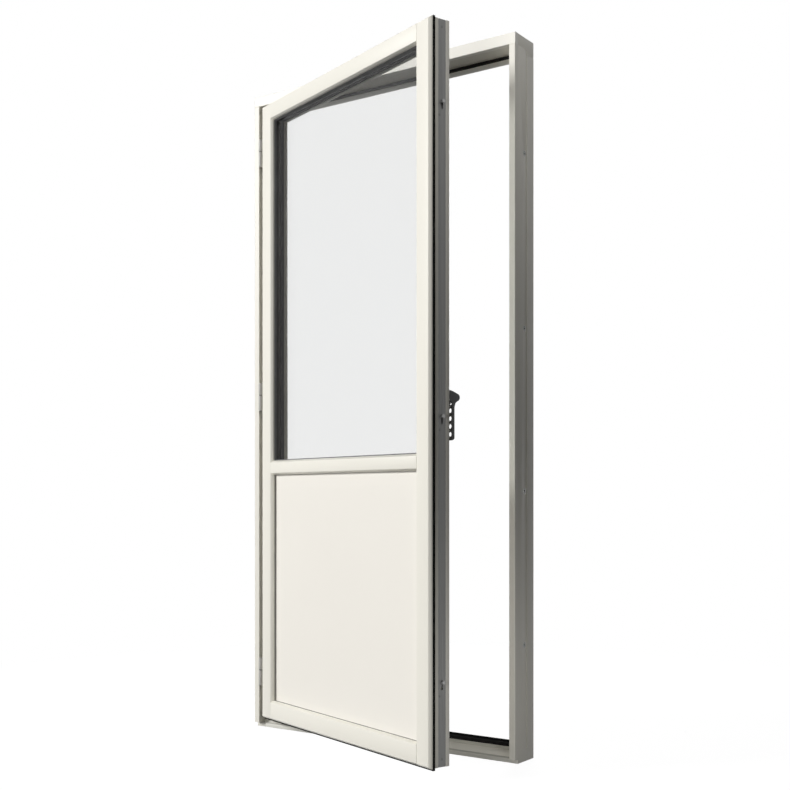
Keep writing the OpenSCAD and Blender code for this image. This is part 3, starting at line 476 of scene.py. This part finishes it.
def eased(node, width, segments=2):
    """A copy of a solid with its sharp edges bevelled; the copy stands for the solid."""
    piece = copy_of_solid(node, node)
    bpy.ops.mesh.dissolve_limited(angle_limit=FLAT_ANGLE)
    bpy.ops.object.mode_set(mode="OBJECT")
    bevel = piece.modifiers.new("eased_edges", "BEVEL")
    bevel.width = width
    bevel.segments = segments
    bevel.limit_method = "ANGLE"
    bevel.angle_limit = EDGE_ANGLE
    bpy.ops.object.modifier_apply(modifier=bevel.name)
    bpy.ops.object.shade_smooth_by_angle(angle=EDGE_ANGLE)
    if node.startswith("rail_cladding"):
        shorten(piece, node, RAIL_JOINT)
    return settle(piece, node + "_eased", finish_of(node), body_of_node[node], [node])


# Width of the eased edges, and the solids that have them
EASED_EDGES = {
    0.5 * MM: ["frame_head", "frame_jamb_hinge", "frame_jamb_lock", "stile_hinge", "stile_lock",
               "rail_top", "rail_middle", "rail_bottom", "threshold_plate", "threshold_base"],
    1.0 * MM: ["stile_cladding_hinge", "stile_cladding_lock", "rail_cladding_top", "rail_cladding_middle",
               "rail_cladding_bottom"],
    0.3 * MM: ["faceplate", "keeper_bottom", "keeper_middle", "keeper_top", "rosette"],
    0.4 * MM: [f"hinge_{half}_{place}" for half in ("frame", "leaf") for place in HINGE_PLACES],
}
for edge_width, names in EASED_EDGES.items():
    for node_name in names:
        eased(node_name, edge_width)
eased("lever", 1.0 * MM, segments=3)


# Seals: a section carried round a rectangle, with mitred corners

def seal_loop(low, high, section):
    """A closed loop of a section given as (distance inside the rectangle, depth) in millimetres."""
    centre = (low + high) / 2
    half = (high - low) / 2
    first_in, first_y = section[0]
    bpy.ops.object.select_all(action="DESELECT")
    bpy.ops.mesh.primitive_plane_add(size=2, location=(centre.x, FACE_Y + first_y * MM, centre.z),
                                     rotation=(math.radians(90), 0, 0))
    piece = bpy.context.active_object
    piece.scale = (half.x - first_in * MM, half.z - first_in * MM, 1)
    bpy.ops.object.transform_apply(location=True, rotation=True, scale=True)
    edit(piece, "EDGE")
    bpy.ops.mesh.select_all(action="SELECT")
    bpy.ops.mesh.delete(type="ONLY_FACE")
    bpy.ops.mesh.select_all(action="SELECT")
    last_in, last_y = first_in, first_y
    for inside, y in section[1:] + section[:1]:
        bpy.ops.mesh.extrude_edges_move(
            TRANSFORM_OT_translate={"value": (0, (y - last_y) * MM, 0), "orient_type": "GLOBAL"})
        wide = (half.x - inside * MM) / (half.x - last_in * MM)
        tall = (half.z - inside * MM) / (half.z - last_in * MM)
        bpy.ops.transform.resize(value=(wide, 1, tall), orient_type="GLOBAL",
                                 center_override=(centre.x, FACE_Y + y * MM, centre.z))
        last_in, last_y = inside, y
    close_edit(piece, 40)
    return piece


def swung(piece):
    """Swings a piece that was shaped on the shut leaf."""
    piece.matrix_world = SWING @ piece.matrix_world
    return piece


def cut_away(piece, boxes):
    """Cuts boxes, given by their lowest and highest corners, out of a piece."""
    made = []
    for low, high in boxes:
        bpy.ops.mesh.primitive_cube_add(size=1, location=(low + high) / 2)
        bpy.context.active_object.scale = high - low
        made.append(bpy.context.active_object)
    cutter = joined(made)
    only(piece)
    cut = piece.modifiers.new("cut", "BOOLEAN")
    cut.operation = "DIFFERENCE"
    cut.object = cutter
    bpy.ops.object.modifier_apply(modifier=cut.name)
    bpy.data.objects.remove(cutter)
    return piece


# The leaf's seal has two lips, and stops where the hinge straps cross it, above the frame's knuckles
LEAF_SEAL_REACH = 2
FRAME_KNUCKLE_H = 51 * MM
STRAP_DEPTH = 3.5 * MM
STRAP_ROOM = 1 * MM
CUT_PAST = 2 * MM
LEAF_SEAL_SECTION = [
    (5.4, 10.1), (-0.7, 10.1), (-1.6, 10.5), (-2.0, 11.1), (-1.7, 11.7), (-0.6, 12.1), (0.2, 12.7),
    (0.2, 13.9), (-0.5, 14.4), (-1.5, 14.8), (-1.8, 15.4), (-1.5, 16.1), (-0.6, 16.7), (5.4, 16.9),
]
seal_low, seal_high = node_box("leaf_seal")
reach = Vector((LEAF_SEAL_REACH, 0, LEAF_SEAL_REACH)) * MM
leaf_low, leaf_high = seal_low + reach, seal_high - reach
leaf_seal = seal_loop(leaf_low, leaf_high, LEAF_SEAL_SECTION)
strap_gaps = []
for place in HINGE_PLACES:
    strap_top = node_box("hinge_leaf_" + place)[1].z + STRAP_ROOM
    parting = node_box("hinge_frame_" + place)[0].z + FRAME_KNUCKLE_H
    gap_low = Vector((seal_low.x - CUT_PAST, seal_low.y - CUT_PAST, parting))
    gap_high = Vector((seal_low.x + STRAP_DEPTH, seal_high.y + CUT_PAST, strap_top))
    strap_gaps.append((gap_low, gap_high))
cut_away(leaf_seal, strap_gaps)
settle(swung(leaf_seal), "leaf_lip_seal", rubber, "leaf", ["leaf_seal"])

# The frame's seal is a bead with a flat flange on the face of the stops
FRAME_SEAL_SECTION = [
    (-0.3, 72), (-0.3, 71.2), (-0.6, 70.2), (-1.2, 69.3), (-2.1, 68.7), (-3.0, 68.7), (-3.9, 69.3),
    (-4.5, 70.2), (-5.0, 71.0), (-10.6, 71.0), (-11.2, 71.4), (-11.4, 72),
]
stop_low = Vector((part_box("frame_jamb_hinge")[1].x, 0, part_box("threshold_base")[1].z))
stop_high = Vector((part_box("frame_jamb_lock")[0].x, 0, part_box("frame_head")[0].z))
frame_seal = seal_loop(stop_low, stop_high, FRAME_SEAL_SECTION)
settle(frame_seal, "frame_bead_seal", frame_rubber, "frame", ["frame_seal"])

# In front the glass has a lip seal and the panel a bed of sealant, greyed as painted shade for the shadow
# line round the panel; behind, both lie on foam tape
GLASS_SEAL_SECTION = [
    (0.2, 10.1), (11.4, 10.1), (12.2, 10.6), (12.9, 11.9), (14.2, 14.9), (14.5, 15.9), (0.2, 15.9),
]
BEDDING_SECTION = [
    (0.2, 10.1), (10.2, 10.1), (10.5, 10.5), (10.5, 15.1), (10.7, 15.7), (11.2, 15.95), (0.2, 15.95),
]
TAPE_SECTION = [
    (0.2, 52), (9.6, 52), (9.9, 52.4), (10.0, 53), (9.9, 53.6), (9.6, 54), (0.2, 54),
]
GLAZING = [
    ("glass_seal", "glass_lip_seal", GLASS_SEAL_SECTION, glazing_rubber),
    ("panel_seal", "panel_bedding_strip", BEDDING_SECTION, painted_shade_bedding),
    ("glass_tape", "glass_foam_tape", TAPE_SECTION, foam_tape),
    ("panel_tape", "panel_foam_tape", TAPE_SECTION, foam_tape),
]
for node_name, piece_name, section, finish in GLAZING:
    edge_low, edge_high = node_box(node_name)
    strip = seal_loop(edge_low, edge_high, section)
    settle(swung(strip), piece_name, finish, "leaf", [node_name])


# Screws: countersunk heads with a six-lobed socket

SCREW_SIDES = 36
HEAD_R = 3.75 * MM
SHANK_R = 1.95 * MM
SOCKET_R = 1.75 * MM
SOCKET_DEPTH = 1.5 * MM
HEAD_RIM = 0.3 * MM
SOCKET_LOBES = 6
LOBE_PINCH = 0.8
SCREW_TURN = 0.7
# How far down each step of a screw goes, in millimetres, and how its radius changes there
SCREW_STEPS = [(0.25, 1.0), (1.6, SHANK_R / HEAD_R), (12.0, 1.0), (2.0, 0.2)]


def on_head(co):
    """Whether a point lies on the face of a screw's head."""
    return co.z > -0.01 * MM


def on_socket(co):
    """Whether a point lies on the socket's edge or inside it."""
    return on_head(co) and co.to_2d().length < SOCKET_R * 1.02


def between_lobes(co):
    """Whether a point of the socket lies between two of its lobes."""
    return on_socket(co) and math.cos(SOCKET_LOBES * math.atan2(co.y, co.x)) < -0.2


def screw_pattern():
    """One screw at the origin, its head's face up."""
    bpy.ops.object.select_all(action="DESELECT")
    bpy.ops.mesh.primitive_circle_add(vertices=SCREW_SIDES, radius=HEAD_R, fill_type="NOTHING")
    piece = bpy.context.active_object
    edit(piece, "EDGE")
    bpy.ops.mesh.select_all(action="SELECT")
    for down, scale in SCREW_STEPS:
        bpy.ops.mesh.extrude_edges_move(
            TRANSFORM_OT_translate={"value": (0, 0, -down * MM), "orient_type": "GLOBAL"})
        bpy.ops.transform.resize(value=(scale, scale, 1), center_override=(0, 0, 0))
    bpy.ops.mesh.edge_face_add()
    bpy.ops.mesh.select_mode(type="VERT")
    pick(piece, on_head)
    bpy.ops.mesh.edge_face_add()
    bpy.ops.mesh.inset(thickness=HEAD_RIM, depth=0.0)
    bpy.ops.mesh.inset(thickness=HEAD_R - HEAD_RIM - SOCKET_R, depth=0.0)
    pick(piece, between_lobes)
    bpy.ops.transform.resize(value=(LOBE_PINCH, LOBE_PINCH, 1), center_override=(0, 0, 0))
    pick(piece, on_socket)
    bpy.ops.mesh.extrude_region_move(
        TRANSFORM_OT_translate={"value": (0, 0, -SOCKET_DEPTH), "orient_type": "GLOBAL"})
    close_edit(piece)
    return piece


def loose_boxes(node):
    """The boxes of a node's separate solids, with the leaf shut."""
    copy_of_solid(node, "loose")
    bpy.ops.mesh.separate(type="LOOSE")
    bpy.ops.object.mode_set(mode="OBJECT")
    boxes = []
    for part in list(bpy.context.selected_objects):
        boxes.append(shut_box(node, [v.co for v in part.data.vertices]))
        bpy.data.objects.remove(part)
    return sorted(boxes, key=lambda box: (round(box[0].z, 4), round(box[0].y, 4)))


def screws_for(node, facing):
    """Puts a screw in the place of each one of a node; facing is where the heads look."""
    pattern = screw_pattern()
    direction = Vector(facing)
    made = []
    for number, (low, high) in enumerate(loose_boxes(node)):
        centre = (low + high) / 2
        reach = (high - low) / 2
        copy = pattern.copy()
        copy.data = pattern.data.copy()
        bpy.context.scene.collection.objects.link(copy)
        head = centre + Vector(d * r for d, r in zip(direction, reach))
        turn = direction.to_track_quat("Z", "Y").to_matrix().to_4x4()
        copy.matrix_world = Matrix.Translation(head) @ turn @ Matrix.Rotation(SCREW_TURN * number, 4, "Z")
        made.append(copy)
    bpy.data.objects.remove(pattern)
    piece = joined(made)
    if body_of_node[node] != "frame":
        swung(piece)
    settle(piece, node + "_lobed", screw_steel, body_of_node[node], [node])


SCREW_FACING = {
    "keeper_screws": (-1, 0, 0),
    "hinge_frame_screws": (1, 0, 0),
    "hinge_leaf_screws": (-1, 0, 0),
    "faceplate_screws": (1, 0, 0),
    "rosette_screws": (0, 1, 0),
}
for node_name, facing in SCREW_FACING.items():
    screws_for(node_name, facing)


# Stage: camera, lamps, floor and background

def photo_camera():
    """The camera stands level, right of the door and 3.7 m away, with its lens shifted up."""
    data = bpy.data.cameras.new("photo_camera")
    data.sensor_width = 36
    data.lens = 53.51
    data.shift_y = 0.1272
    camera = bpy.data.objects.new("photo_camera", data)
    camera.location = (2.109, -2.983, 0.764)
    camera.rotation_euler = (math.radians(90), 0, math.radians(34.78))
    bpy.context.scene.collection.objects.link(camera)
    bpy.context.scene.camera = camera


def lamp(name, place, aim, size, spread, power):
    """A square soft lamp that looks at a point and lights a cone of this many degrees."""
    data = bpy.data.lights.new(name, "AREA")
    data.shape = "SQUARE"
    data.size = size
    data.spread = math.radians(spread)
    data.energy = power
    piece = bpy.data.objects.new(name, data)
    piece.location = place
    piece.rotation_euler = (Vector(aim) - Vector(place)).to_track_quat("-Z", "Y").to_euler()
    piece.visible_camera = False
    piece.visible_transmission = False
    bpy.context.scene.collection.objects.link(piece)


def plain_world(level):
    """Even light at a low level, with a white background for the camera, gloss and glass."""
    world = bpy.data.worlds.new("plain_world")
    bpy.context.scene.world = world
    sky = Finish(world)
    seen = sky.node("ShaderNodeLightPath", output="Is Camera Ray")
    seen = seen | sky.node("ShaderNodeLightPath", output="Is Glossy Ray")
    seen = seen | sky.node("ShaderNodeLightPath", output="Is Transmission Ray")
    soft = sky.node("ShaderNodeBackground", None, {"Color": (1, 1, 1, 1), "Strength": level})
    white = sky.node("ShaderNodeBackground", None, {"Color": (1, 1, 1, 1), "Strength": 1.0})
    mixed = sky.node("ShaderNodeMixShader", None, {0: seen, 1: soft, 2: white})
    sky.feed(sky.out.inputs["Surface"], mixed)


WORLD_LEVEL = 0.03
FLOOR_SIZE = 30
FLOOR_DROP = 0.8 * MM
FLOOR_GLOW = 0.88
FLOOR_PALE = (0.86, 0.86, 0.855, 1)
FLOOR_BOUNCE = (0.025, 0.025, 0.0248, 1)
NEAR_WHITE = 1.09
FAR_WHITE = 1.0
FADE_START = 1.0
FADE_END = 2.4
FADE_SPAN = 4.0


def pale_floor(glow):
    """A white floor with a faint shadow; it throws little light back and fades into the background."""
    bpy.ops.object.select_all(action="DESELECT")
    bpy.ops.mesh.primitive_plane_add(size=FLOOR_SIZE, location=(0, 0, -FLOOR_DROP))
    floor = bpy.context.active_object
    floor.name = "pale_floor"
    finish = new_finish("pale_floor")
    finish.coat(Base_Color=FLOOR_PALE, Roughness=0.8, Specular_IOR_Level=0.1)
    seen = finish.node("ShaderNodeLightPath", output="Is Camera Ray")
    seen = seen | finish.node("ShaderNodeLightPath", output="Is Glossy Ray")
    seen = seen | finish.node("ShaderNodeLightPath", output="Is Transmission Ray")
    spot = finish.node("ShaderNodeTexCoord", output="Object")
    away = finish.node("ShaderNodeVectorMath", {"operation": "LENGTH"}, {0: spot}, output="Value")
    far = finish.steps(away * (1 / FADE_SPAN), FADE_START / FADE_SPAN, FADE_END / FADE_SPAN)
    near_white = finish.node("ShaderNodeEmission", None, {"Color": (1, 1, 1, 1), "Strength": NEAR_WHITE})
    far_white = finish.node("ShaderNodeEmission", None, {"Color": (1, 1, 1, 1), "Strength": FAR_WHITE})
    bounce = finish.node("ShaderNodeBsdfDiffuse", None, {"Color": FLOOR_BOUNCE})
    ground = Value(finish, finish.shader.outputs[0])
    near = finish.node("ShaderNodeMixShader", None, {0: glow, 1: ground, 2: near_white})
    plain = finish.node("ShaderNodeMixShader", None, {0: far, 1: near, 2: far_white})
    mixed = finish.node("ShaderNodeMixShader", None, {0: seen, 1: bounce, 2: plain})
    finish.feed(finish.out.inputs["Surface"], mixed)
    floor.data.materials.append(finish.owner)


# Each lamp's name, place, aim, size in metres, spread in degrees and power in watts
LAMPS = [
    ("key_lamp", (-10.2, -10.9, 6.4), (0, -0.1, 1.1), 4.5, 180, 2210),
    ("front_lamp", (0.0, -5.0, 0.5), (0.1, -0.1, 0.6), 2.5, 180, 74),
    ("side_lamp", (1.9, -1.0, 2.9), (0.49, -0.05, 2.1), 0.4, 80, 1.9),
    ("low_lamp", (1.4, -0.75, 0.1), (0.44, -0.2, 0.15), 0.3, 70, 0.45),
    ("sill_lamp", (0.95, -0.6, 0.95), (0.36, -0.01, 0.02), 0.2, 40, 0.02),
    ("back_lamp", (-2.5, 6.0, 3.2), (0, 0.1, 1.1), 3.0, 180, 260),
]
photo_camera()
for row in LAMPS:
    lamp(*row)
plain_world(WORLD_LEVEL)
pale_floor(FLOOR_GLOW)
bpy.context.scene.view_settings.view_transform = "Standard"
